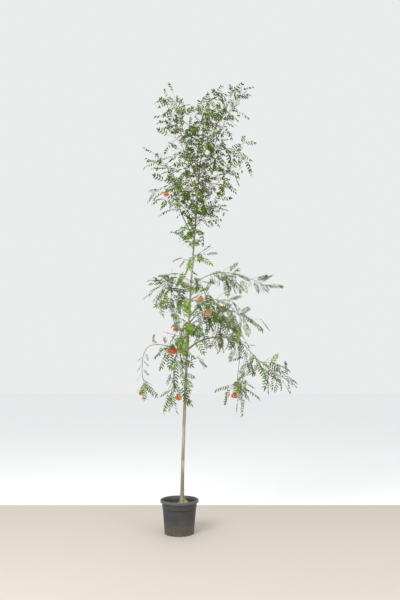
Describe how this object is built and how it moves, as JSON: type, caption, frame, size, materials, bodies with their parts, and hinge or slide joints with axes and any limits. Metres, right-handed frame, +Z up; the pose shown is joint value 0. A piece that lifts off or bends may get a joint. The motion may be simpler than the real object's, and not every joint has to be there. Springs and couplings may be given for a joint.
{
  "type": "rowan tree",
  "caption": "Young rowan tree with feathered leaves and orange berry heads on arching boughs, growing in a round plastic nursery pot.",
  "frame": {"origin": "middle of the pot's flat underside", "axes": "+Z up, +X to the right as the tree is seen in the picture, +Y away from that viewer"},
  "size_m": [1.4456, 1.0915, 4.091],
  "materials": {
    "pot": "satin dark grey, dusty",
    "soil": "matt, crumbly",
    "trunk": "smooth olive-grey bark",
    "bough": "smooth purple-brown bark",
    "foliage": "matt leaves"
  },
  "bodies": {
    "root": {"pot": "pot", "soil": "soil", "trunk": "trunk", "bough_right_leader": "bough", "bough_right_side": "bough", "bough_left_leader": "bough", "bough_left_side": "bough", "bough_left_back": "bough", "bough_right_arch_high": "bough", "bough_right_shoot": "bough", "bough_left_shoot": "bough", "bough_back_high": "bough", "bough_left_drop": "bough", "bough_right_high": "bough", "bough_right_mid": "bough", "bough_right_back": "bough", "bough_right_arch": "bough", "bough_right_far": "bough", "bough_right_hang": "bough", "bough_left_arch": "bough", "bough_left_end": "bough", "bough_left_hang": "bough", "bough_front_low": "bough", "bough_back_low": "bough", "bough_back_left": "bough", "leaves_right_leader": "foliage", "leaves_right_side": "foliage", "leaves_left_leader": "foliage", "leaves_left_side": "foliage", "leaves_left_back": "foliage", "leaves_top": "foliage", "leaves_front_high": "foliage", "leaves_back_top": "foliage", "leaves_right_arch_high": "foliage", "leaves_right_inner": "foliage", "leaves_right_shoot": "foliage", "leaves_left_shoot": "foliage", "leaves_left_fruit": "foliage", "leaves_front_mid": "foliage", "leaves_back_high": "foliage", "leaves_left_middle": "foliage", "leaves_mid_right": "foliage", "leaves_trunk_front": "foliage", "leaves_trunk_left": "foliage", "leaves_trunk_right": "foliage", "leaves_left_high": "foliage", "leaves_left_drop": "foliage", "leaves_right_high": "foliage", "leaves_right_mid": "foliage", "leaves_right_back": "foliage", "leaves_right_fruit": "foliage", "leaves_right_far": "foliage", "leaves_right_hang": "foliage", "leaves_left_end": "foliage", "leaves_left_hang": "foliage", "leaves_left_low": "foliage", "leaves_right_low": "foliage", "leaves_front_low": "foliage", "leaves_back_low": "foliage", "leaves_back_left": "foliage"}
  },
  "joints": []
}
